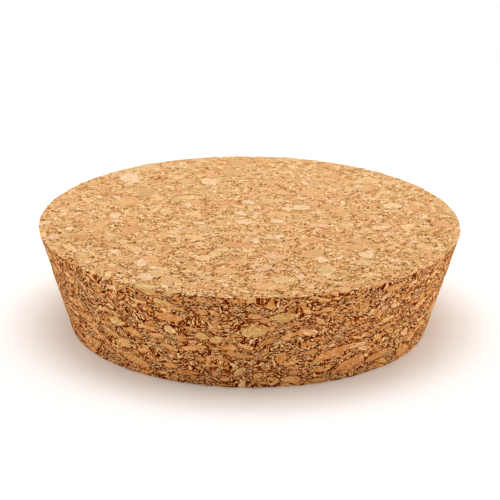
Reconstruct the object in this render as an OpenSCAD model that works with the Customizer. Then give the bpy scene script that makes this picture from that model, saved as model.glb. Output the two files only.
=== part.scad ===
// Tapered cork stopper: one solid of pressed cork granules, turned and sanded
// to a plain cone frustum. The narrow base wedges into the round mouth of a jar
// or a canister, and the broad top stays above the rim to be gripped.
// Origin: centre of the base. +Z runs up the axis to the top. Millimetres.

/* [Body] */
// Diameter across the top at its widest, as a caliper reads it over the eased edge
top_d = 100; // [60:1:140]
// Diameter across the base, at the sharp corner that the easing takes away
base_d = 85; // [40:1:130]
// Height from the base to the top
height = 25; // [12:0.5:60]

/* [Edges] */
// Radius that sanding leaves on the top edge
top_edge_r = 0.4; // [0.2:0.1:3]
// Radius that sanding leaves on the base edge
base_edge_r = 0.5; // [0.2:0.1:3]

/* [Hidden] */
$fn = 180;
CORK = "#D9A566";
// Straight steps that stand for each eased edge's arc
ARC_STEPS = 8;

top_r = top_d / 2;
base_r = base_d / 2;

// The top arc touches the top face, and its widest point lies on the top diameter.
top_centre = [top_r - top_edge_r, height - top_edge_r];

// The side runs from the base's sharp corner and just touches the top arc, so it
// leans out by the angle to that arc's centre and by the angle the arc subtends.
to_top_centre = top_centre - [base_r, 0];
taper = atan2(to_top_centre.x, to_top_centre.y) + asin(top_edge_r / norm(to_top_centre));

// The base arc touches the base and the side, which meet at 90 degrees plus the taper.
base_centre = [base_r - base_edge_r / tan((90 + taper) / 2), base_edge_r];

// Points along an arc in the section plane. Angles are in degrees from +X.
function arc(centre, radius, from, to) = [
    for (step = [0 : ARC_STEPS])
        let (angle = from + (to - from) * step / ARC_STEPS)
            centre + radius * [cos(angle), sin(angle)]
];

// Half section, from the centre of the base round the outside to the centre of the top.
module half_section() {
    polygon(concat(
        [[0, 0]],
        arc(base_centre, base_edge_r, -90, -taper),
        arc(top_centre, top_edge_r, -taper, 90),
        [[0, height]]
    ));
}

module cork_stopper() {
    color(CORK) rotate_extrude() half_section();
}

cork_stopper();
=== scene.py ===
"""A tapered stopper of pressed cork granules, standing on a white table under soft studio light."""

import logging
import math
from dataclasses import dataclass, field
from enum import Enum
from functools import partial

import bpy
import numpy as np
from mathutils import Matrix, Vector


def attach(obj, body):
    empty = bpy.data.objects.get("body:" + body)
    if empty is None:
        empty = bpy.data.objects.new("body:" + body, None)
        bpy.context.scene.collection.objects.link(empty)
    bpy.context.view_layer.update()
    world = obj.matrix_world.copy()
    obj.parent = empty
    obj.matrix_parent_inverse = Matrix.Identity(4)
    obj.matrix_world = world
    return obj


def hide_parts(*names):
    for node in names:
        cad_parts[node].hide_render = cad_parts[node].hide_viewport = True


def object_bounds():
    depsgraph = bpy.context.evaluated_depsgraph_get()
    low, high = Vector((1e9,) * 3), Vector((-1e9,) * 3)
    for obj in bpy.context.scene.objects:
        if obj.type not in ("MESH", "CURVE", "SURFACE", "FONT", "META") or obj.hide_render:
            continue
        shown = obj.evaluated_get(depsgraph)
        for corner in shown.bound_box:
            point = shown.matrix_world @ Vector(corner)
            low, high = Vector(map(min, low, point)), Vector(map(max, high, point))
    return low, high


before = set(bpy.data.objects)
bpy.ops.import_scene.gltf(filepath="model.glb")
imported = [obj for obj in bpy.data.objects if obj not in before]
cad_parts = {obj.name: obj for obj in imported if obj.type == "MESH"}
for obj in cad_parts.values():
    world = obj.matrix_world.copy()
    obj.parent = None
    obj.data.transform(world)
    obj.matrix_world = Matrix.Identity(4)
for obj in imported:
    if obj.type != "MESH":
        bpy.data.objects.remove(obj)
CAD_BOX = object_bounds()

MM = 0.001
BODY, NODE, SLOT = "root", "cork_stopper", "cork"
RIM = 48.0  # how far front and back the finish changes, in millimetres
PURE_WHITE = (1.0, 1.0, 1.0, 1.0)
Socket = bpy.types.NodeSocket
Pair = tuple[float, float]
log = logging.getLogger("stopper")


def linear(code: str) -> np.ndarray:
    """Turn an sRGB hex colour into linear light.

    Args:
        code: Six hex digits after a hash sign, such as "#D9A566".

    Returns:
        Red, green and blue from 0 to 1. A channel c becomes c / 12.92 up to 0.04045, and
        ((c + 0.055) / 1.055) to the power 2.4 above it.
    """
    srgb = np.array([int(code[i:i + 2], 16) for i in (1, 3, 5)]) / 255.0
    return np.where(srgb <= 0.04045, srgb / 12.92, ((srgb + 0.055) / 1.055) ** 2.4)


def ease(low: float, high: float, x: np.ndarray) -> np.ndarray:
    """Rise smoothly from 0 to 1, as 3t^2 - 2t^3 of the share t of the way.

    Args:
        low: Where the rise starts.
        high: Where it ends.
        x: The values to ease.

    Returns:
        One share from 0 to 1 for each value.
    """
    t = np.clip((x - low) / (high - low), 0.0, 1.0)
    return t * t * (3.0 - 2.0 * t)


def heading(turn: float | np.ndarray) -> np.ndarray:
    """Give each turn's direction as its cosine and sine."""
    return np.stack([np.cos(turn), np.sin(turn)], axis=-1)


def add_node(
    tree: bpy.types.NodeTree,
    kind: str,
    inputs: dict,
    output: int | str = 0,
    stops: tuple[tuple[float, str], ...] = (),
    **settings: object,
) -> Socket | None:
    """Add one node with its settings, values and links.

    Args:
        tree: The node tree that takes it.
        kind: The node's type, without the leading "ShaderNode".
        inputs: For a socket's name or number, the socket that feeds it or its value.
        output: The name or number of the output that is wanted.
        stops: A colour ramp's places from 0 to 1, and their sRGB hex colours.
        **settings: The node's own attributes, such as operation.

    Returns:
        The wanted output, whose node holds the others, or None from a node without outputs.
    """
    node = tree.nodes.new("ShaderNode" + kind)
    for name, value in settings.items():
        setattr(node, name, value)
    for socket, value in inputs.items():
        if isinstance(value, Socket):
            tree.links.new(value, node.inputs[socket])
        else:
            node.inputs[socket].default_value = value
    for place, _ in stops[1:-1]:
        node.color_ramp.elements.new(place)
    for index, (_, code) in enumerate(stops):
        node.color_ramp.elements[index].color = (*linear(code), 1.0)
    return node.outputs[output] if node.outputs else None


def put(thing: bpy.types.Object) -> bpy.types.Object:
    """Link an object to the scene and hand it back."""
    bpy.context.scene.collection.objects.link(thing)
    return thing


class LatticeNoise:
    """Smooth noise in space, from random values held on a cubic lattice."""

    PERIOD = 64

    def __init__(self, seed: int) -> None:
        """Draw the lattice's values, from -1 to 1.

        Args:
            seed: The seed of the draw.
        """
        rng = np.random.default_rng(seed)
        self.values = rng.uniform(-1.0, 1.0, (self.PERIOD,) * 3)

    def at(self, points: np.ndarray, cell: float) -> np.ndarray:
        """Blend the eight lattice values round each point, eased as 3t^2 - 2t^3 along each axis.

        Args:
            points: An array of shape (n, 3).
            cell: The lattice's spacing, in the points' own unit.

        Returns:
            One value from -1 to 1 for each point.
        """
        place = points / cell
        low = np.floor(place).astype(int)
        part = place - low
        share = part * part * (3.0 - 2.0 * part)
        total = np.zeros(len(points))
        for corner in np.ndindex(2, 2, 2):
            index = (low + corner) % self.PERIOD
            weight = np.where(corner, share, 1.0 - share).prod(axis=1)
            total += weight * self.values[index[:, 0], index[:, 1], index[:, 2]]
        return total


class Face(Enum):
    """The faces that turning and sanding leave on the stopper."""

    TOP = "top"
    SIDE = "side"
    BASE = "base"


class Tone(Enum):
    """Colours of clean cork, as sRGB, from the pale inner bark to its dark outside."""

    CREAM = "#F4D2A4"
    STRAW = "#EFC68E"
    HONEY = "#E8B87E"
    OCHRE = "#E6C48A"
    TAN = "#E4B67C"
    OLIVE = "#E6C28A"
    ROSE = "#F0C296"
    APRICOT = "#E5AD76"
    AMBER = "#E0AA70"
    BARK = "#94602E"
    IVORY = "#F0D6A8"


CREAM, STRAW, HONEY, OCHRE, TAN, OLIVE, ROSE, APRICOT, AMBER, BARK, IVORY = Tone


# The flat map's sheet, where the centres of its two discs lie, and its five strips' lower left
# corners, in millimetres. Two millimetres or so lie between the parts.
SHEET_WIDTH = 170.0
TOP_AT = (50.8, 50.8)
BASE_AT = (126.4, 126.4)
STRIPS_AT = ((104.0, 0.8), (104.0, 28.4), (104.0, 56.0), (0.8, 104.0), (0.8, 132.0))

# How common each tone is among the granules dropped at random, in the order of Tone.
SIDE_SHARES = (0.05, 0.17, 0.26, 0.14, 0.16, 0.04, 0.02, 0.10, 0.04, 0.00, 0.02)
FACE_SHARES = (0.08, 0.33, 0.46, 0.04, 0.03, 0.01, 0.02, 0.03, 0.00, 0.00, 0.00)


@dataclass
class StopperBody:
    """The turned cork solid: a cone frustum with eased edges. Sizes are in millimetres."""

    top_d: float = (CAD_BOX[1].x - CAD_BOX[0].x) / MM
    height: float = (CAD_BOX[1].z - CAD_BOX[0].z) / MM
    base_d: float = 85.0
    top_edge_r: float = 0.4
    base_edge_r: float = 0.5
    face_rows: int = 166
    side_rows: int = 56
    edge_steps: int = 5

    def __post_init__(self) -> None:
        """Work out the side's lean and the two edge arcs' centres, as (radius, height)."""
        top_r, base_r = self.top_d / 2.0, self.base_d / 2.0
        self.top_centre = np.array([top_r - self.top_edge_r, self.height - self.top_edge_r])
        across = self.top_centre - (base_r, 0.0)
        self.taper = math.atan2(*across) + math.asin(self.top_edge_r / np.hypot(*across))
        inset = self.base_edge_r / math.tan((math.pi / 2.0 + self.taper) / 2.0)
        self.base_centre = np.array([base_r - inset, self.base_edge_r])
        self.around = 4 * (self.face_rows - 1)

    def section(self) -> tuple[np.ndarray, np.ndarray]:
        """Trace the side's section from the top face's rim down to the base face's rim.

        The top arc turns from straight up to the side's own direction, the straight side runs
        between the two arcs, and the base arc turns on to straight down.

        Returns:
            Places as (radius, height) and outward directions, one row each.
        """
        lean = -self.taper
        top_out = heading(np.linspace(math.pi / 2.0, lean, self.edge_steps + 1))
        base_out = heading(np.linspace(lean, -math.pi / 2.0, self.edge_steps + 1))
        top_arc = self.top_centre + self.top_edge_r * top_out
        base_arc = self.base_centre + self.base_edge_r * base_out
        share = np.linspace(0.0, 1.0, self.side_rows + 1)[1:-1, None]
        straight = top_arc[-1] * (1.0 - share) + base_arc[0] * share
        side_out = np.repeat(top_out[-1:], len(straight), axis=0)
        places = np.concatenate([top_arc, straight, base_arc])
        return places, np.concatenate([top_out, side_out, base_out])

    def disc(self) -> tuple[np.ndarray, np.ndarray]:
        """Spread a square grid evenly over a disc of radius 1.

        Each square ring of the grid becomes a circle. Its radius is the ring's larger coordinate,
        and its angle grows evenly along the square's sides, a quarter turn for each side.

        Returns:
            Places of shape (n * n, 2), and the flat indices of the rim, in order of angle.
        """
        rows = self.face_rows
        line = np.linspace(-1.0, 1.0, rows)
        x, y = np.meshgrid(line, line, indexing="ij")
        wide = np.abs(x) >= np.abs(y)
        radius = np.where(wide, x, y)
        turn = np.where(wide, y / radius, 2.0 - x / radius) * math.pi / 4.0
        places = radius[..., None] * heading(turn)
        flat = np.arange(rows * rows).reshape(rows, rows)
        rim = np.concatenate([flat[-1, :-1], flat[:0:-1, -1], flat[0, :0:-1], flat[:-1, 0]])
        return places.reshape(-1, 2), rim

    def frame_at(self, face: Face, at: Pair) -> tuple[np.ndarray, ...]:
        """Find a place on a face and the directions along, across and out of the surface there.

        Args:
            face: The face.
            at: x and y on the top or base, or degrees round from the front and height on the side.

        Returns:
            The place, the level direction to the right, the direction up the face, and outwards.
        """
        if face is not Face.SIDE:
            sign = 1.0 if face is Face.TOP else -1.0
            height = self.height if face is Face.TOP else 0.0
            return np.array([*at, height]), *np.diag([1.0, sign, sign])
        turn = math.radians(at[0])
        lean = math.tan(self.taper)
        radius = self.base_d / 2.0 + at[1] * lean
        along = np.array([*heading(turn), 0.0])
        out = np.array([along[1], -along[0], 0.0])
        up = out * math.sin(self.taper) + np.array([0.0, 0.0, math.cos(self.taper)])
        return out * radius + (0.0, 0.0, at[1]), along, up, np.cross(along, up)

    def surface(self) -> tuple[np.ndarray, np.ndarray, np.ndarray]:
        """Lay out the whole closed surface before it is carved.

        The top face and the base face are evenly spread discs. The side is the section carried
        round the axis, and its first and last rows are the discs' own rims.

        Returns:
            Places and outward directions in millimetres, and the rings' indices, one row a ring.
        """
        unit, rim = self.disc()
        section, section_out = self.section()
        count = len(unit)
        faces = [np.insert(unit * radius, 2, height, axis=1) for radius, height in section[[0, -1]]]
        # The discs' rims start at their grids' corner, an eighth turn back.
        turn = np.arange(self.around) * 2.0 * math.pi / self.around - math.pi / 4.0
        round_about = heading(turn)
        places = np.empty((len(section), self.around, 3))
        outward = np.empty_like(places)
        for rows, profile in ((places, section), (outward, section_out)):
            rows[..., :2] = profile[:, None, :1] * round_about
            rows[..., 2] = profile[:, 1:]
        inner = slice(1, -1)
        up = np.tile([0.0, 0.0, 1.0], (count, 1))
        all_places = np.concatenate([*faces, places[inner].reshape(-1, 3)])
        all_outward = np.concatenate([up, -up, outward[inner].reshape(-1, 3)])
        rings = np.arange(len(section) * self.around).reshape(len(section), -1)
        rings += 2 * count - self.around
        rings[0] = rim
        rings[-1] = rim + count
        return all_places, all_outward, rings

    def quads(self, rings: np.ndarray) -> np.ndarray:
        """Join neighbouring places into four-sided faces that look outwards.

        Args:
            rings: The indices of each ring down the side, one row a ring.

        Returns:
            Four indices a face: the top's faces, then the base's, then the side's ring by ring.
        """
        rows = self.face_rows
        flat = np.arange(rows * rows).reshape(rows, rows)
        near, right = flat[:-1, :-1], flat[1:, :-1]
        far, left = flat[1:, 1:], flat[:-1, 1:]
        top = np.stack([near, right, far, left], axis=-1).reshape(-1, 4)
        base = top[:, ::-1] + rows * rows
        after = np.roll(rings, -1, axis=1)
        side = np.stack([rings[:-1], rings[1:], after[1:], after[:-1]], axis=-1)
        return np.concatenate([top, base, side.reshape(-1, 4)])

    def sheet(self, quads: np.ndarray, places: np.ndarray) -> np.ndarray:
        """Lay the surface out flat on one square sheet, at one scale and with no overlaps.

        The two flat faces keep their own shape, the base seen from below. The side is cut into
        five strips: across a strip is the angle times the top radius, and up it is the length
        along the section. A corner's place is divided by the sheet's width.

        Args:
            quads: Four indices a face, in the order that the method quads gives them.
            places: The surface's places before it is carved, in millimetres.

        Returns:
            Each face's four corners on the sheet, from 0 to 1, of shape (faces, 4, 2).
        """
        flat = (self.face_rows - 1) ** 2
        top = places[quads[:flat], :2] + TOP_AT
        base = places[quads[flat:2 * flat], :2] * (-1.0, 1.0) + BASE_AT
        section, _ = self.section()
        steps = np.linalg.norm(np.diff(section, axis=0), axis=1)
        down = np.concatenate([[0.0], np.cumsum(steps)])
        row, column = np.mgrid[:len(steps), :self.around]
        rows = np.stack([row, row + 1, row + 1, row], axis=-1).reshape(-1, 4)
        strip, inside = np.divmod(column.ravel(), self.around // len(STRIPS_AT))
        columns = inside[:, None] + (0, 0, 1, 1)
        across = columns * (math.pi * self.top_d / self.around)
        side = np.stack([across, down[-1] - down[rows]], axis=-1)
        side += np.array(STRIPS_AT)[strip][:, None]
        return np.concatenate([top, base, side]) / SHEET_WIDTH


@dataclass(frozen=True)
class FlakeSpot:
    """A clean-faced granule that the cut lays open, given where it shows. Millimetres and degrees.

    A place on the top or the base is its x and y. A place on the side is the degrees round from
    the front, to the right, and the height. A turn is anticlockwise, seen from outside.
    """

    face: Face
    at: Pair
    length: float
    width: float
    turn: float
    tone: Tone


# Across, up, length, width, turn and tone of each granule that stands out.
SIDE_SPOTS = (
    (1.7, 15.9, 7, 4, 12, OCHRE), (-22.2, 14.6, 3.7, 2.2, -22, IVORY),
    (-21.8, 17.9, 7.9, 2.5, -2, APRICOT), (-37, 4, 9.6, 3.2, -15, TAN), (-38.5, 22.7, 4.4, 1.9, 0, CREAM),
    (-13, 13.9, 3.5, 2.5, -10, OCHRE), (-8.9, 13.2, 3.7, 2.4, 12, OCHRE), (-5.2, 11.2, 3.2, 2.2, 8, TAN),
    (-2.5, 9.2, 7.2, 1.9, -8, AMBER), (9.4, 19.4, 5.2, 3.4, 4, OCHRE), (-3, 24, 5, 1.6, 0, AMBER),
    (25, 8.1, 8, 3, 14, APRICOT), (36, 17.5, 3.4, 1.8, 25, IVORY), (19.7, 17.7, 2.6, 1.9, -35, CREAM),
    (33, 20.1, 3.3, 2, 75, APRICOT), (33.7, 9, 5.8, 1.5, 8, CREAM), (32.4, 4.3, 8.6, 3.2, 12, APRICOT),
    (42.6, 4.5, 8, 2.4, 10, TAN), (42.4, 14.1, 5.5, 1.7, 8, STRAW), (29.9, 6.6, 4.2, 1.2, 25, STRAW),
    (-15.7, 10.4, 6.4, 1.9, 10, TAN), (-22.3, 21.6, 6.2, 2.2, -14, OCHRE),
    (-22.6, 19.9, 3.4, 1.6, 6, STRAW), (-23, 9.6, 4.2, 2, -12, TAN), (1.9, 19.9, 3.8, 1.8, 4, TAN),
    (14.6, 15.4, 3.2, 1.9, 22, APRICOT), (11, 14.2, 3.3, 2.2, 32, TAN), (9.4, 8.2, 3.7, 2.6, 48, APRICOT),
    (13, 6.8, 4.3, 1.3, 24, STRAW), (17.3, 6.4, 2.4, 1.3, 80, STRAW), (18.4, 9.4, 3.6, 1.7, 10, APRICOT),
    (16.8, 11.7, 4.2, 1.3, 6, AMBER), (-14, 7.6, 2.6, 1.9, 0, AMBER), (-8, 8.2, 3.5, 1.5, -16, TAN),
    (-10.8, 6, 5.6, 1.2, 3, TAN), (-2.4, 4.8, 3.4, 2, 42, OLIVE), (-10, 3.8, 2.1, 1.9, 0, APRICOT),
    (2.9, 3.6, 2.6, 1.9, 30, TAN), (-19, 3.2, 7, 1.6, 8, AMBER), (5, 12.9, 4.6, 1.7, 24, AMBER),
    (-6, 17.1, 2.5, 1.4, 0, TAN), (21.3, 14.9, 2.1, 1.4, 20, ROSE), (24.2, 10.3, 2.5, 1.2, 10, CREAM),
    (2.4, 22.1, 1.6, 1.2, 0, STRAW), (-51.5, 20.1, 4.2, 1.5, -34, CREAM),
    (-45.5, 15.6, 2.4, 2, 10, CREAM), (-40, 13.4, 4.3, 2.8, 5, OCHRE), (-34.5, 11.9, 3.9, 2.4, -14, TAN),
    (-29.7, 14, 5.1, 1.5, -4, STRAW), (-44.4, 9.8, 6.2, 1.8, -16, OCHRE), (-52, 8.6, 3, 2.5, -42, OCHRE),
    (-49.5, 7, 3.8, 1.6, 12, TAN), (-62, 9.9, 3, 1.6, -20, CREAM), (-64.5, 21, 4, 2, -30, STRAW),
    (-57, 13.5, 4.2, 1.8, -25, OCHRE), (-47.5, 4.3, 4.4, 1.5, -18, TAN), (-31.5, 8.5, 2.6, 1.4, -10, TAN),
    (-44.5, 19, 4.4, 1.4, -20, TAN), (43.9, 17.6, 3, 2, -20, CREAM), (34, 14.3, 4.2, 1.1, 4, TAN),
    (39, 6.8, 3.2, 1.2, 36, STRAW), (28.1, 15.8, 2.1, 1.7, 0, TAN), (39.8, 21, 3.2, 1.9, 18, CREAM),
    # Most granules from 49 to 63 degrees round, at the side's right end, are paler than their own tone.
    # They are real pale granules, made paler still as a painted sheen of grazing light from the right and
    # behind.
    (53.2, 8, 4.2, 2.2, -28, CREAM), (49, 9.4, 3.1, 1.6, 10, STRAW), (57.5, 14.5, 5, 2, 12, CREAM),
    (63, 7, 5, 2, 20, STRAW), (49.5, 22, 4, 1.6, 16, CREAM), (60, 21.5, 4.4, 1.8, 14, CREAM),
)
TOP_SPOTS = (
    (27.1, -21.6, 4.5, 4.2, 90, CREAM), (26.2, -26.2, 4.5, 4, 0, STRAW), (3.4, -30.9, 5.5, 3, 50, ROSE),
    (17.9, -31.6, 6, 4.5, 90, OLIVE), (-3.8, -27.9, 3.5, 2.5, 0, APRICOT), (5.9, -22.9, 5, 4, 0, ROSE),
    (-23.4, -37.1, 5, 3.8, 90, CREAM), (-24.6, -28.4, 5, 2.5, 90, CREAM),
    (-21.9, -31.3, 2.5, 2, 0, CREAM), (1.3, -12.5, 3, 2.7, 90, CREAM), (-4.6, -7.7, 5, 2.5, 0, STRAW),
    (19.2, -7.5, 5.5, 3.5, 0, APRICOT), (-17.9, -7.1, 3.5, 2.5, 0, STRAW), (-12.9, -42.9, 5, 3, 0, HONEY),
    (2.1, -36.6, 5, 3, 0, STRAW), (4.6, -42.5, 8, 5, 0, HONEY), (22.9, -41.2, 6, 2, 0, APRICOT),
    (-5.4, -32.9, 6, 5, 0, HONEY), (11.7, -36.2, 3.5, 2, 90, CREAM), (27.9, -34.6, 5, 2.5, 0, STRAW),
    (23.8, -16.3, 8, 4, 0, HONEY), (-7.9, -22.1, 4, 3.5, 90, OLIVE), (-5.8, -19.1, 3, 3, 0, STRAW),
    (10.9, -18.4, 3.5, 3, 0, APRICOT), (-29.8, 32, 6, 5, 90, CREAM), (29.3, 31.5, 7, 5, 0, STRAW),
    (-14.3, 17.5, 6, 3, 0, STRAW), (-0.3, 14.5, 3.5, 3, 90, CREAM), (4.5, 15.5, 3.5, 3.5, 0, STRAW),
    (12.5, 11, 4.5, 4.5, 0, CREAM), (-20.3, 7.3, 5, 3, 90, OLIVE), (-2.5, 6.5, 3.5, 3, 90, CREAM),
    (1.8, 6.5, 3, 3, 0, CREAM), (6.5, 1, 3.5, 3.5, 0, CREAM), (16.5, -1.5, 5, 2.5, 0, ROSE),
    (-12, -0.5, 4, 2, 0, CREAM), (-32, 4.3, 3.5, 3, 90, CREAM), (-5.5, 13.5, 5, 4, 0, APRICOT),
    (32.5, -7, 3, 3, 0, ROSE), (34.3, 13, 5, 4, 0, CREAM), (-26, 7, 5, 2.5, 0, HONEY),
    (-40.6, 6.9, 2, 1.5, 0, BARK), (28, 40.6, 2.5, 0.8, 0, BARK),
)
NAMED_SPOTS = tuple(
    FlakeSpot(face, spot[:2], *spot[2:])
    for face, spots in ((Face.SIDE, SIDE_SPOTS), (Face.TOP, TOP_SPOTS))
    for spot in spots
)


class Flake:
    """One granule, a shard with flat facets that stand square to the cut."""

    CORNER = 0.06  # how far a corner is rounded, in millimetres
    POINTED = 1.6  # how much the facets crowd along the two long sides
    FACETS = (5, 9)  # the fewest, and one more than the most
    REACH = (0.80, 1.0)  # a facet's distance, as a share of the ellipse's
    SHADE = (0.94, 1.06)
    PRESSED = {Face.TOP: 0.35, Face.SIDE: 0.8, Face.BASE: 0.35}  # depth over half a length

    def __init__(self, body: StopperBody, spot: FlakeSpot, rng: np.random.Generator) -> None:
        """Place the shard and choose its facets.

        Each facet touches an ellipse of the spot's length and width. The places where they touch
        are spread round the ellipse at uneven steps, crowded along its two long sides, so that its
        ends come out pointed. Each facet then moves in by up to a fifth.

        Args:
            body: The solid that the granule shows on.
            spot: Where it shows, and its size, turn and tone.
            rng: The draw that its facets come from.
        """
        self.centre, along, across, self.outward = body.frame_at(spot.face, spot.at)
        turn = math.radians(spot.turn)
        self.along = along * math.cos(turn) + across * math.sin(turn)
        self.across = across * math.cos(turn) - along * math.sin(turn)
        self.half = np.array([spot.length, spot.width]) / 2.0
        self.depth = self.half[0] * self.PRESSED[spot.face]
        facets = rng.integers(*self.FACETS)
        step = 2.0 * math.pi / facets
        look = (np.arange(facets) + rng.uniform(-0.4, 0.4, facets)) * step + rng.uniform(0.0, step)
        self.looks = np.stack([np.cos(look), self.POINTED * np.sin(look)]) / self.half[:, None]
        self.looks /= np.linalg.norm(self.looks, axis=0)
        support = np.linalg.norm(self.looks * self.half[:, None], axis=0)
        self.reach = support * rng.uniform(*self.REACH, facets)
        self.colour = linear(spot.tone.value) * rng.uniform(*self.SHADE)

    def edge_distance(self, points: np.ndarray) -> np.ndarray:
        """Measure how far points lie outside the shard, in millimetres, below 0 inside it.

        The distance beyond each facet is the point's place along the facet's look less the facet's
        reach. The largest of them counts, and a soft maximum rounds the corners.

        Args:
            points: Places in millimetres, of shape (n, 3).

        Returns:
            One distance for each place.
        """
        away = points - self.centre
        flat = np.stack([away @ self.along, away @ self.across], axis=1)
        beyond = flat @ self.looks - self.reach
        deep = np.abs(away @ self.outward)[:, None] - self.depth
        beyond = np.concatenate([beyond, deep], axis=1) / self.CORNER
        top = beyond.max(axis=1)
        soft = np.log(np.exp(beyond - top[:, None]).sum(axis=1))
        return (top + soft) * self.CORNER


@dataclass
class FlakeBed:
    """All the clean-faced granules that show, those listed and the rest at random."""

    body: StopperBody
    seed: int = 167
    spots: tuple[FlakeSpot, ...] = NAMED_SPOTS
    tries: int = 2400
    room: float = 0.8
    flakes: list[Flake] = field(default_factory=list)

    def fill(self) -> None:
        """Place the granules named in spots, then drop others wherever their ovals have room."""
        rng = np.random.default_rng(self.seed)
        limit = len(self.spots) + self.tries
        centres, halves = np.empty((limit, 3)), np.empty((limit, 3))
        frames = np.empty((limit, 3, 3))
        for drop in range(limit):
            named = drop < len(self.spots)
            flake = Flake(self.body, self.spots[drop] if named else self.random_spot(rng), rng)
            count = len(self.flakes)
            away = np.einsum("fij,fj->fi", frames[:count], flake.centre - centres[:count])
            reach = halves[:count] + self.room * flake.half.min()
            if named or (np.linalg.norm(away / reach, axis=1) > 1.0).all():
                centres[count] = flake.centre
                frames[count] = flake.along, flake.across, flake.outward
                halves[count] = *flake.half, flake.depth
                self.flakes.append(flake)

    def random_spot(self, rng: np.random.Generator) -> FlakeSpot:
        """Choose a face by its area, a place on it, and a granule's size, turn and tone.

        Args:
            rng: The draw that they come from.

        Returns:
            The granule.
        """
        body = self.body
        top_r, base_r = body.top_d / 2.0, body.base_d / 2.0
        areas = np.array([top_r**2, (top_r + base_r) * body.height, base_r**2])
        face = list(Face)[rng.choice(3, p=areas / areas.sum())]
        turn = rng.uniform(0.0, 2.0 * math.pi)
        out = math.sqrt(rng.uniform())
        length = float(np.clip(rng.lognormal(1.0, 0.42), 1.5, 8.0))
        if face is Face.SIDE:
            at = (math.degrees(turn), rng.uniform(0.0, body.height))
            width = length * rng.uniform(0.32, 0.6)
            lean = rng.normal(0.0, 14.0)
            shares = SIDE_SHARES
        else:
            radius = (top_r if face is Face.TOP else base_r) * out
            at = tuple(radius * heading(turn))
            width = length * rng.uniform(0.5, 0.95)
            lean = rng.uniform(0.0, 180.0)
            shares = FACE_SHARES
        tone = list(Tone)[rng.choice(len(Tone), p=shares)]
        return FlakeSpot(face, at, length, width, lean, tone)

    def cut(self, places: np.ndarray) -> tuple[np.ndarray, np.ndarray]:
        """Find how the surface cuts the granules.

        The distance to the nearest granule's edge is below 0 inside it. Where two granules meet,
        half the difference of their distances takes over, so that a seam runs between them.

        Args:
            places: The surface's places, in millimetres.

        Returns:
            The distance to the nearest edge in millimetres, and that granule's colour.
        """
        far = 2.0
        order = np.argsort(places[:, 0])
        sorted_x = places[order, 0]
        nearest = np.full(len(places), far)
        second = nearest.copy()
        colour = np.tile(linear(HONEY.value), (len(places), 1))
        for flake in self.flakes:
            reach = flake.half[0] + far
            window = flake.centre[0] + np.array([-reach, reach])
            near = order[slice(*np.searchsorted(sorted_x, window))]
            near = near[(np.abs(places[near] - flake.centre) < reach).all(axis=1)]
            gap = flake.edge_distance(places[near])
            wins = gap < nearest[near]
            second[near] = np.where(wins, nearest[near], np.minimum(second[near], gap))
            nearest[near] = np.where(wins, gap, nearest[near])
            colour[near[wins]] = flake.colour
        return np.maximum(nearest, (nearest - second) / 2.0), colour


@dataclass(frozen=True)
class CutLook:
    """How one kind of cut shows its granules. Lightness runs from 0, dark, to 1, pale.

    A clean granule is one that the cut left whole. The torn ground is all that lies between them.
    """

    clean: float  # a clean granule's lightness, and the torn ground's
    torn: float
    crumb_clean: float  # how far the crumbs' lightness swings, inside a clean granule and outside
    crumb_torn: float
    fibre_clean: float  # how far the fibres' lightness swings
    fibre_torn: float
    gap_clean: float  # how far the gaps between the crumbs go down, as dark binder and painted shade of the voids
    gap_torn: float
    gap_width: float  # half a gap's width, in crumbs
    seam: float  # how far the seams between granules go down
    fleck: float  # how far the flecks of bark go down
    fray: float  # how far a large granule's outline wanders, either way, in millimetres
    hue: float  # how much of the granules' change of hue shows


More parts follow.
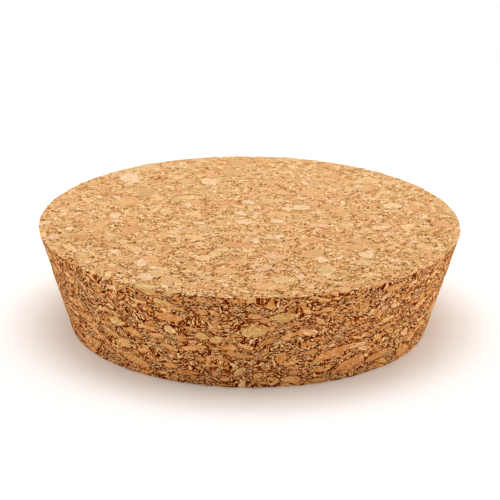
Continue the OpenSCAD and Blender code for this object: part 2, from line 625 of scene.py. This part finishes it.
@dataclass(frozen=True)
class SandedCork:
    """Agglomerated cork: ground bark pressed in flat layers with a binder, then cut and sanded.

    Granules that the cut leaves whole are matt and even, like suede. The torn ones between them
    show their shreds on end, with dark gaps of binder and shadow, so a cut across the layers is
    busy and brown, and one along the layers is pale with fine brown marks. Flecks of the tree's
    dark outer bark are scattered through it. Sizes are in millimetres.
    """

    granule: float = 1.9  # the small granules, between the large ones that the mesh carries
    crumb: float = 0.88  # crumbs seen from above
    shred: float = 0.60  # the same crumbs seen on end
    fibre: float = 0.36  # cell rows are 0.03 mm apart, too fine to show, so these stand for bundles
    # how far from a granule's outline its seam ends and is full, and so does a small one's torn rim
    small_seam: Pair = (0.15, 0.05)
    large_seam: Pair = (0.14, 0.04)
    small_rim: Pair = (0.16, 0.06)
    fleck: float = 0.85  # the mean distance between flecks of bark
    fleck_size: float = 0.32  # the largest fleck's radius
    sway: float = 1.6  # how far the layers wander up and down, either way, and over what length
    sway_length: float = 7.0
    squeeze: float = 1.6  # how much more than its own length a place along a slant counts
    level: float = 0.045  # how far the small granules' own lightness swings
    coarse: Pair = (1.4, 0.55)  # how strong the flat faces' marks are, front and back
    flat: CutLook = CutLook(
        clean=0.71, torn=0.77, crumb_clean=0.09, crumb_torn=0.27, fibre_clean=0.04, fibre_torn=0.14,
        gap_clean=0.14, gap_torn=0.44, gap_width=0.18, seam=0.34, fleck=0.60, fray=0.60, hue=0.30,
    )
    turned: CutLook = CutLook(
        clean=0.70, torn=0.89, crumb_clean=0.09, crumb_torn=0.64, fibre_clean=0.11, fibre_torn=0.44,
        gap_clean=0.07, gap_torn=0.90, gap_width=0.18, seam=0.74, fleck=0.36, fray=0.40, hue=1.0,
    )
    flat_ramp: tuple[tuple[float, str], ...] = (
        (0.0, "#480C00"), (0.2, "#9C5308"), (0.45, "#D89D5E"),
        (0.6, "#E4AD73"), (0.8, "#F6C58F"), (1.0, "#FFE2B8"),
    )
    turned_ramp: tuple[tuple[float, str], ...] = (
        (0.0, "#440800"), (0.2, "#822400"), (0.4, "#AE4C04"),
        (0.6, "#D88F46"), (0.8, "#F9C488"), (1.0, "#FFEAC6"),
    )
    ground_hue: tuple[float, ...] = (1.0, 0.885, 0.69, 1.0)  # the side's torn ground is deeper
    reddish: tuple[float, ...] = (1.05, 0.95, 0.88, 1.0)  # the two ends of the slow drift of hue
    yellowish: tuple[float, ...] = (1.0, 1.02, 0.92, 1.0)
    drift_length: float = 6.0

    def build(self) -> bpy.types.Material:
        """Build the material: matt, with the bump of its own light and dark marks.

        Returns:
            The material.
        """
        material = bpy.data.materials.new("pressed_cork_sanded")
        material.use_nodes = True
        tree = material.node_tree
        tree.nodes.clear()
        pattern = CorkPattern(self, tree)
        light, colour = pattern.lightness(), pattern.colour()
        bump = add_node(tree, "Bump", {"Height": light, "Distance": 0.1 * MM, "Strength": 0.5})
        # Cut cells trap the light, so hardly any of a smooth surface's gloss is left.
        shader = add_node(tree, "BsdfPrincipled", {
            "Base Color": colour, "Normal": bump,
            "Roughness": 0.85, "IOR": 1.45, "Specular IOR Level": 0.01,
        })
        add_node(tree, "OutputMaterial", {"Surface": shader})
        return material


class CorkPattern:
    """The nodes that work out the cork's pattern at a point of the surface."""

    PRESS = (1.0, 1.0, 2.0)  # the press makes the granules half as high as they are wide
    CRUMB_TEAR = (0.8, 0.8, 0.5)  # how far noise tears the crumbs' and the fibres' places
    FIBRE_TEAR = (0.25, 0.25, 0.2)
    SLANT_LOW = (-0.5, -0.5, 0.3)  # the lowest slant, where a granule's number is 0
    APART = 40.0  # how far apart two granules' fibres are drawn from one noise

    def __init__(self, cork: SandedCork, tree: bpy.types.NodeTree) -> None:
        """Read the point, what the mesh says about it, and the look of the cut there.

        Args:
            cork: The finish whose sizes and looks the pattern takes.
            tree: The node tree that takes the nodes.
        """
        self.cork = cork
        self.add = add = partial(add_node, tree)
        place = add("TexCoord", {}, "Object")
        self.mm = add("VectorMath", {0: place, "Scale": 1.0 / MM}, operation="SCALE")
        self.edge = add("Attribute", {}, "Fac", attribute_name="flake_edge")
        self.tint = add("Attribute", {}, "Color", attribute_name="flake_tint")
        self.side = add("Attribute", {}, "Fac", attribute_name="cut_side")
        self.look = {}
        for name, flat in vars(cork.flat).items():
            turned = getattr(cork.turned, name)
            self.look[name] = add("MapRange", {0: self.side, 3: flat, 4: turned})
        self.lay()
        self.sort()

    def lay(self) -> None:
        """Bend the layers, fray the granules' outlines, and tell granules and crumbs apart.

        A granule's fibres run along its own slant. The place along the slant counts more than
        double, which squeezes the crumbs into shreds that lie across it.
        """
        add, cork = self.add, self.cork
        sway = add("TexNoise", {"Vector": self.mm, "Scale": 1.0 / cork.sway_length, "Detail": 1.0})
        lift = add("MapRange", {0: sway, 1: 0.3, 2: 0.7, 3: -cork.sway, 4: cork.sway})
        lift = add("CombineXYZ", {2: lift})
        bent = add("VectorMath", {0: self.mm, 1: lift}, operation="ADD")
        torn = {"Vector": self.mm, "Scale": 1.2, "Detail": 2.0, "Roughness": 0.6}
        torn = add("TexNoise", torn, "Color")
        self.laid = add("VectorMath", {0: torn, 1: self.CRUMB_TEAR, 2: bent}, operation="MULTIPLY_ADD")
        bent = add("VectorMath", {0: torn, 1: self.FIBRE_TEAR, 2: bent}, operation="MULTIPLY_ADD")

        pressed = add("VectorMath", {0: self.laid, 1: self.PRESS}, operation="MULTIPLY")
        cells = {"Vector": pressed, "Scale": 1.0 / cork.granule}
        granule = add("TexVoronoi", cells, "Color")
        self.seam = add("TexVoronoi", cells, feature="DISTANCE_TO_EDGE")
        self.own = add("SeparateXYZ", {0: granule}).node.outputs

        slant = add("VectorMath", {0: granule, 1: self.SLANT_LOW}, operation="ADD")
        along = add("VectorMath", {0: slant, 1: bent}, "Value", operation="DOT_PRODUCT")
        more = add("Math", {0: along, 1: cork.squeeze}, operation="MULTIPLY")
        thin = add("VectorMath", {0: slant, "Scale": more}, operation="SCALE")
        thin = add("VectorMath", {0: thin, 1: bent}, operation="ADD")
        self.along = add("Math", {0: self.own[2], 1: self.APART, 2: along}, operation="MULTIPLY_ADD")
        crumb = add("VectorMath", {0: self.laid, "Scale": 1.0 / cork.crumb}, operation="SCALE")
        shred = add("VectorMath", {0: thin, "Scale": 1.0 / cork.shred}, operation="SCALE")
        turned = add("Math", {0: self.side, 1: 0.5}, operation="GREATER_THAN")
        cells = add("Mix", {0: turned, 4: crumb, 5: shred}, 1, data_type="VECTOR")
        self.cells = {"Vector": cells, "Scale": 1.0}

    def sort(self) -> None:
        """Tell the clean granules from the torn ground.

        The large granules come from the mesh, as a distance to their edge that noise frays. The
        noise is flattened as the layers are. A fifth of the small ones, inside their seams, are
        clean as well.
        """
        add, cork = self.add, self.cork
        fray = add("VectorMath", {0: self.mm, 1: self.PRESS}, operation="MULTIPLY")
        fray = {"Vector": fray, "Scale": 0.6, "Detail": 5.0, "Roughness": 0.65}
        fray = add("MapRange", {0: add("TexNoise", fray), 3: -1.0, 4: 1.0})
        fray = {0: fray, 1: self.look["fray"], 2: self.edge}
        self.frayed = add("Math", fray, operation="MULTIPLY_ADD")
        self.outside = add("MapRange", {0: self.frayed, 1: -0.04, 2: 0.04})
        small = add("MapRange", {0: self.own[2], 1: 0.18, 2: 0.26})
        ends, full = cork.small_rim
        rim = add("MapRange", {0: self.seam, 1: ends / cork.granule, 2: full / cork.granule})
        small = add("Math", {0: small, 1: rim}, operation="MAXIMUM")
        self.torn = add("Math", {0: small, 1: self.outside}, operation="MULTIPLY")

    def lightness(self) -> Socket:
        """Add up how light the point is, from 0, dark, to 1, pale.

        It is the ground's own lightness, plus what the crumbs, the fibres and the granule add,
        less what the gaps, the seams and the flecks take away.

        Returns:
            The lightness.
        """
        add, look = self.add, self.look
        crumb = add("SeparateXYZ", {0: add("TexVoronoi", self.cells, "Color")})
        crumb = add("MapRange", {0: crumb, 3: -1.0, 4: 1.0})
        fibre = {"W": self.along, "Scale": 1.0 / self.cork.fibre, "Detail": 2.0, "Roughness": 0.8}
        fibre = add("TexNoise", fibre, noise_dimensions="1D")
        fibre = add("MapRange", {0: fibre, 1: 0.3, 2: 0.7, 3: -1.0, 4: 1.0})
        level = add("MapRange", {0: self.own[0], 3: -1.0, 4: 1.0})

        light = add("MapRange", {0: self.torn, 3: look["clean"], 4: look["torn"]})
        for part, name in ((crumb, "crumb"), (fibre, "fibre")):
            clean, torn = look[name + "_clean"], look[name + "_torn"]
            swing = add("MapRange", {0: self.torn, 3: clean, 4: torn})
            light = add("Math", {0: part, 1: swing, 2: light}, operation="MULTIPLY_ADD")
        swing = add("Math", {0: self.outside, 1: self.cork.level}, operation="MULTIPLY")
        light = add("Math", {0: level, 1: swing, 2: light}, operation="MULTIPLY_ADD")
        front, back = self.cork.coarse
        marks = add("SeparateXYZ", {0: self.mm}, 1)
        marks = add("MapRange", {0: marks, 1: -RIM, 2: RIM, 3: front, 4: back})
        coarse = add("MapRange", {0: self.side, 3: marks, 4: 1.0})
        for factors in (self.gaps(), self.seams(), self.flecks()):
            mark = coarse
            for factor in factors:
                mark = add("Math", {0: mark, 1: factor}, operation="MULTIPLY")
            light = add("Math", {0: light, 1: mark}, operation="SUBTRACT")
        self.light = light
        return light

    def gaps(self) -> tuple[Socket, ...]:
        """Draw the gaps between the crumbs, dark with binder and with painted shade of the voids. On the
        flat faces sanding dust fills all but patches.

        Returns:
            The factors of what the gaps take from the lightness.
        """
        add, look = self.add, self.look
        self.patch = add("TexNoise", {"Vector": self.laid, "Scale": 1.9, "Detail": 1.0})
        self.patch = add("MapRange", {0: self.patch, 1: 0.36, 2: 0.60})
        undusted = add("MapRange", {0: self.side, 3: self.patch, 4: 1.0})
        gap = add("TexVoronoi", self.cells, feature="DISTANCE_TO_EDGE")
        gap = add("MapRange", {0: gap, 1: look["gap_width"], 2: 0.02})
        depth = add("MapRange", {0: self.torn, 3: look["gap_clean"], 4: look["gap_torn"]})
        return gap, undusted, depth

    def seams(self) -> tuple[Socket, ...]:
        """Draw the binder round large and small granules, in the same patches.

        Returns:
            The factors of what the seams take from the lightness.
        """
        add, granule = self.add, self.cork.granule
        ends, full = self.cork.small_seam
        small = add("MapRange", {0: self.seam, 1: ends / granule, 2: full / granule})
        small = add("Math", {0: small, 1: self.outside}, operation="MULTIPLY")
        away = add("Math", {0: self.frayed}, operation="ABSOLUTE")
        ends, full = self.cork.large_seam
        large = add("MapRange", {0: away, 1: ends, 2: full})
        line = add("Math", {0: small, 1: large}, operation="MAXIMUM")
        return line, self.patch, self.look["seam"]

    def flecks(self) -> tuple[Socket, ...]:
        """Draw round flecks of bark. Each cell's own number gives its fleck's radius.

        Returns:
            The factors of what the flecks take from the lightness.
        """
        add, cell = self.add, self.cork.fleck
        away = add("TexVoronoi", {"Vector": self.laid, "Scale": 1.0 / cell})
        size = add("SeparateXYZ", {0: away.node.outputs["Color"]})
        size = add("MapRange", {0: size, 1: 0.4, 4: self.cork.fleck_size / cell})
        inside = add("Math", {0: size, 1: away}, operation="SUBTRACT")
        fleck = add("MapRange", {0: inside, 1: -0.05 / cell, 2: 0.05 / cell})
        faint = add("MapRange", {0: self.outside, 3: 0.3, 4: 1.0})
        return fleck, faint, self.look["fleck"]

    def colour(self) -> Socket:
        """Turn the lightness into colour, then add the granules' tints and slow drifts of hue.

        Returns:
            The colour.
        """
        add, cork = self.add, self.cork
        flat = add("ValToRGB", {0: self.light}, stops=cork.flat_ramp)
        turned = add("ValToRGB", {0: self.light}, stops=cork.turned_ramp)
        colour = add("Mix", {0: self.side, 6: flat, 7: turned}, 2, data_type="RGBA")
        ground = add("Math", {0: self.torn, 1: self.side}, operation="MULTIPLY")
        drift = add("TexNoise", {"Vector": self.mm, "Scale": 1.0 / cork.drift_length, "Detail": 2.0})
        drift = add("MapRange", {0: drift, 1: 0.35, 2: 0.65, 3: -0.3, 4: 0.7})
        hue = add("Math", {0: self.own[1], 1: 0.6, 2: drift}, operation="MULTIPLY_ADD")
        hue = add("Mix", {0: hue, 6: cork.reddish, 7: cork.yellowish}, 2, data_type="RGBA")
        share = add("MapRange", {0: self.outside, 3: 0.3, 4: 1.0})
        share = add("Math", {0: share, 1: self.look["hue"]}, operation="MULTIPLY")
        for amount, without, full in (
            (self.outside, self.tint, PURE_WHITE),
            (ground, PURE_WHITE, cork.ground_hue),
            (share, PURE_WHITE, hue),
        ):
            wash = add("Mix", {0: amount, 6: without, 7: full}, 2, data_type="RGBA")
            colour = add("VectorMath", {0: colour, 1: wash}, operation="MULTIPLY")
        return colour


@dataclass(frozen=True)
class CutRelief:
    """The relief that cutting and sanding leave. Depths and sizes are in millimetres.

    Clean granules stay level. The soft ground between them lies a little lower and is uneven, with
    pits where a granule fell out, pores, and a groove round each clean granule.
    """

    skim: float = 0.01
    ground: float = 0.04
    crumb: Pair = (0.09, 1.1)
    grain: Pair = (0.07, 0.6)
    pit: Pair = (0.10, 1.7)
    pore: Pair = (0.12, 1.1)
    groove: Pair = (0.12, 0.35)
    seed: int = 11

    def depth(self, places: np.ndarray, edge: np.ndarray) -> np.ndarray:
        """Work out how deep each place lies below the turned surface.

        Crumbs and grains are lattice noise from 0 to their depth. Pits and pores are where noise
        rises above a threshold. The groove falls off from a granule's edge as a bell curve, and is
        deepest where the crumbs are.

        Args:
            places: The surface's places, in millimetres.
            edge: Each place's distance to the nearest clean granule's edge, below 0 inside it.

        Returns:
            One depth for each place, in millimetres.
        """
        noise = LatticeNoise(self.seed)
        crumb = 0.5 + 0.5 * noise.at(places, self.crumb[1])
        grain = 0.5 + 0.5 * noise.at(places + 31.7, self.grain[1])
        pit = ease(0.40, 0.75, noise.at(places + 77.7, self.pit[1]))
        pore = ease(0.35, 0.80, noise.at(places + 13.3, self.pore[1]))
        rough = self.ground + self.crumb[0] * crumb + self.grain[0] * grain
        rough += self.pit[0] * pit + self.pore[0] * pore
        groove = self.groove[0] * crumb * np.exp(-(edge / self.groove[1]) ** 2)
        return self.skim + ease(-0.1, 0.35, edge) * rough + groove


@dataclass
class Stopper:
    """The stopper's one visible piece: its carved surface, its flat map and its finish."""

    body: StopperBody
    bed: FlakeBed
    relief: CutRelief = CutRelief()
    finish: SandedCork = SandedCork()

    def build(self) -> bpy.types.Object:
        """Build the mesh, carve it, and dress it.

        Returns:
            The piece, linked to the scene, at the origin.
        """
        bare, outward, rings = self.body.surface()
        self.bed.fill()
        edge, colour = self.bed.cut(bare)
        quads = self.body.quads(rings)
        mesh = self.mesh(bare - outward * self.relief.depth(bare, edge)[:, None], quads)
        sheet = self.body.sheet(quads, bare).astype(np.float32)
        mesh.uv_layers.new(name="OFBake").uv.foreach_set("vector", sheet.ravel())

        # A granule's tone is carried as a share of the commonest one, a little past its edge.
        tint = np.where(edge[:, None] < 0.9, colour / linear(HONEY.value), 1.0)
        tint = np.column_stack([tint, np.ones(len(tint))])
        side = 1.0 - ease(0.3, 0.9, np.abs(outward[:, 2]))
        for name, kind, key, values in (
            ("flake_edge", "FLOAT", "value", edge),
            ("flake_tint", "FLOAT_COLOR", "color", tint),
            ("cut_side", "FLOAT", "value", side),
        ):
            layer = mesh.attributes.new(name, kind, "POINT")
            layer.data.foreach_set(key, values.astype(np.float32).ravel())
        mesh.materials.append(self.finish.build())
        return put(bpy.data.objects.new("cork_body", mesh))

    @staticmethod
    def mesh(places: np.ndarray, quads: np.ndarray) -> bpy.types.Mesh:
        """Put places and four-sided faces into a smooth mesh.

        Args:
            places: The surface's places, in millimetres, of shape (n, 3).
            quads: Four indices a face.

        Returns:
            The mesh, in metres.
        """
        mesh = bpy.data.meshes.new("cork_body")
        mesh.vertices.add(len(places))
        mesh.vertices.foreach_set("co", (places * MM).astype(np.float32).ravel())
        mesh.loops.add(quads.size)
        mesh.loops.foreach_set("vertex_index", quads.astype(np.int32).ravel())
        mesh.polygons.add(len(quads))
        starts = np.arange(0, quads.size, quads.shape[1], dtype=np.int32)
        mesh.polygons.foreach_set("loop_start", starts)
        mesh.update(calc_edges=True)
        mesh.validate()
        mesh.shade_smooth()
        return mesh


@dataclass(frozen=True)
class WhiteTable:
    """Matt white laminate. It shows the eye an even white with the stopper's soft shadow on it.

    Close to the stopper the table takes the lamps' light, and a warm haze stands for what the room
    throws back. Further out it fades into the white backdrop, between the two radii, in metres.
    Only rays that show the table see the haze and the fade.
    """

    half_width: float = 2.0
    shade: float = 0.955
    fade: Pair = (0.13, 0.30)
    haze: float = 0.19
    haze_colour: tuple[float, ...] = (1.0, 0.92, 0.8, 1.0)

    def build(self) -> bpy.types.Object:
        """Build the table's top as one flat face.

        Returns:
            The table, linked to the scene.
        """
        far = self.half_width
        corners = [(-far, -far, 0.0), (far, -far, 0.0), (far, far, 0.0), (-far, far, 0.0)]
        mesh = bpy.data.meshes.new("table")
        mesh.from_pydata(corners, [], [(0, 1, 2, 3)])
        mesh.materials.append(self.finish())
        table = put(bpy.data.objects.new("table", mesh))
        return table

    def finish(self) -> bpy.types.Material:
        """Build the table's material.

        Returns:
            The material.
        """
        material = bpy.data.materials.new("white_laminate_matt")
        material.use_nodes = True
        tree = material.node_tree
        tree.nodes.clear()
        add = partial(add_node, tree)
        shown = seen_directly(tree)
        away = add("TexCoord", {}, "Object")
        away = add("VectorMath", {0: away}, "Value", operation="LENGTH")
        near, far = self.fade
        fade = add("MapRange", {0: away, 1: near, 2: far}, interpolation_type="SMOOTHSTEP")
        fade = add("Math", {0: fade, 1: shown}, operation="MULTIPLY")
        haze = add("Math", {0: shown, 1: self.haze}, operation="MULTIPLY")
        haze = add("Emission", {"Color": self.haze_colour, "Strength": haze})
        lit = add("BsdfDiffuse", {"Color": (self.shade, self.shade, self.shade, 1.0)})
        close = add("AddShader", {0: lit, 1: haze})
        backdrop = add("Emission", {"Color": PURE_WHITE, "Strength": 1.0})
        surface = add("MixShader", {0: fade, 1: close, 2: backdrop})
        add("OutputMaterial", {"Surface": surface})
        return material


def seen_directly(tree: bpy.types.NodeTree) -> Socket:
    """Tell the rays that show a surface from those that light others.

    Args:
        tree: The node tree that takes the nodes.

    Returns:
        1 for a ray from the camera, a mirror or a glass, and 0 for the rest.
    """
    ray = add_node(tree, "LightPath", {}).node.outputs
    kinds = {0: ray["Is Camera Ray"], 1: ray["Is Glossy Ray"]}
    seen = add_node(tree, "Math", kinds, operation="ADD")
    kinds = {0: seen, 1: ray["Is Transmission Ray"]}
    return add_node(tree, "Math", kinds, operation="ADD", use_clamp=True)


@dataclass(frozen=True)
class SoftBox:
    """A square-cornered lamp that faces the stopper. Metres and watts."""

    name: str
    at: tuple[float, float, float]
    size: Pair
    power: float

    def build(self, target: Vector) -> None:
        """Build the lamp and turn it to the target.

        Args:
            target: The place that the lamp faces, in metres.
        """
        lamp = bpy.data.lights.new(self.name, "AREA")
        lamp.shape = "RECTANGLE"
        lamp.size, lamp.size_y = self.size
        lamp.energy = self.power
        stand = put(bpy.data.objects.new(self.name, lamp))
        stand.location = self.at
        stand.rotation_euler = (target - stand.location).to_track_quat("-Z", "Y").to_euler()


@dataclass(frozen=True)
class ViewPoint:
    """Where the camera stands and looks. Millimetres and degrees."""

    aim: tuple[float, float, float] = (0.15, 0.0, 17.91)
    distance: float = 711.8
    elevation: float = 20.2
    roll: float = 0.567
    lens: float = 215.24
    sensor: float = 36.0
    clip: Pair = (50.0, 20000.0)

    def build(self) -> None:
        """Build the camera and make it the scene's own."""
        rise = math.radians(self.elevation)
        back = Vector((0.0, -math.cos(rise), math.sin(rise)))
        data = bpy.data.cameras.new("camera")
        data.sensor_width, data.lens = self.sensor, self.lens
        data.clip_start, data.clip_end = self.clip[0] * MM, self.clip[1] * MM
        camera = put(bpy.data.objects.new("camera", data))
        turn = (-back).to_track_quat("-Z", "Y").to_matrix()
        turn = turn @ Matrix.Rotation(math.radians(self.roll), 3, "Z")
        place = (Vector(self.aim) + back * self.distance) * MM
        camera.matrix_world = Matrix.Translation(place) @ turn.to_4x4()
        bpy.context.scene.camera = camera


@dataclass
class Studio:
    """A white table in a white room, ceiling lamps, and low lamps in front and on both sides."""

    table: WhiteTable = WhiteTable()
    camera: ViewPoint = ViewPoint()
    lamps: tuple[SoftBox, ...] = (
        SoftBox("ceiling", (0.0, 0.0, 0.7), (0.8, 0.8), 2.39),
        SoftBox("ceiling_small", (0.0, 0.0, 0.6), (0.35, 0.35), 1.04),
        SoftBox("ceiling_back", (0.0, 0.3, 0.6), (0.8, 0.5), 1.11),
        SoftBox("front_low", (0.0, -1.0, 0.165), (1.4, 0.26), 3.25),
        SoftBox("left_low", (-0.8, 0.15, 0.15), (1.0, 0.26), 3.1),
        SoftBox("right_low", (0.8, 0.2, 0.12), (1.0, 0.2), 4.6),
    )

    def build(self, middle: Vector) -> None:
        """Build the table, the lamps, the room and the camera.

        Args:
            middle: The middle of the stopper, in metres, which the lamps face.
        """
        self.table.build()
        for lamp in self.lamps:
            lamp.build(middle)
        self.room()
        self.camera.build()
        log.info("studio: %d lamps", len(self.lamps))

    @staticmethod
    def room() -> None:
        """Make the room white to look at, with no light of its own."""
        world = bpy.data.worlds.new("white_room")
        world.use_nodes = True
        tree = world.node_tree
        tree.nodes.clear()
        shown = seen_directly(tree)
        white = add_node(tree, "Background", {"Color": PURE_WHITE, "Strength": shown})
        add_node(tree, "OutputWorld", {"Surface": white})
        bpy.context.scene.world = world


def main() -> None:
    """Build the stopper, tie it to its body, hide its CAD node, and set the studio round it."""
    logging.basicConfig(level=logging.INFO, format="%(name)s: %(message)s")
    body = StopperBody()
    bed = FlakeBed(body)
    piece = Stopper(body, bed).build()
    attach(piece, BODY)
    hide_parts(NODE)
    shown = len(piece.data.polygons), len(bed.flakes)
    log.info("%s: %d faces, %d clean granules", piece.name, *shown)
    Studio().build(Vector((0.0, 0.0, body.height * MM / 2.0)))
    bpy.context.scene.view_settings.view_transform = "Standard"


if __name__ == "__main__":
    main()
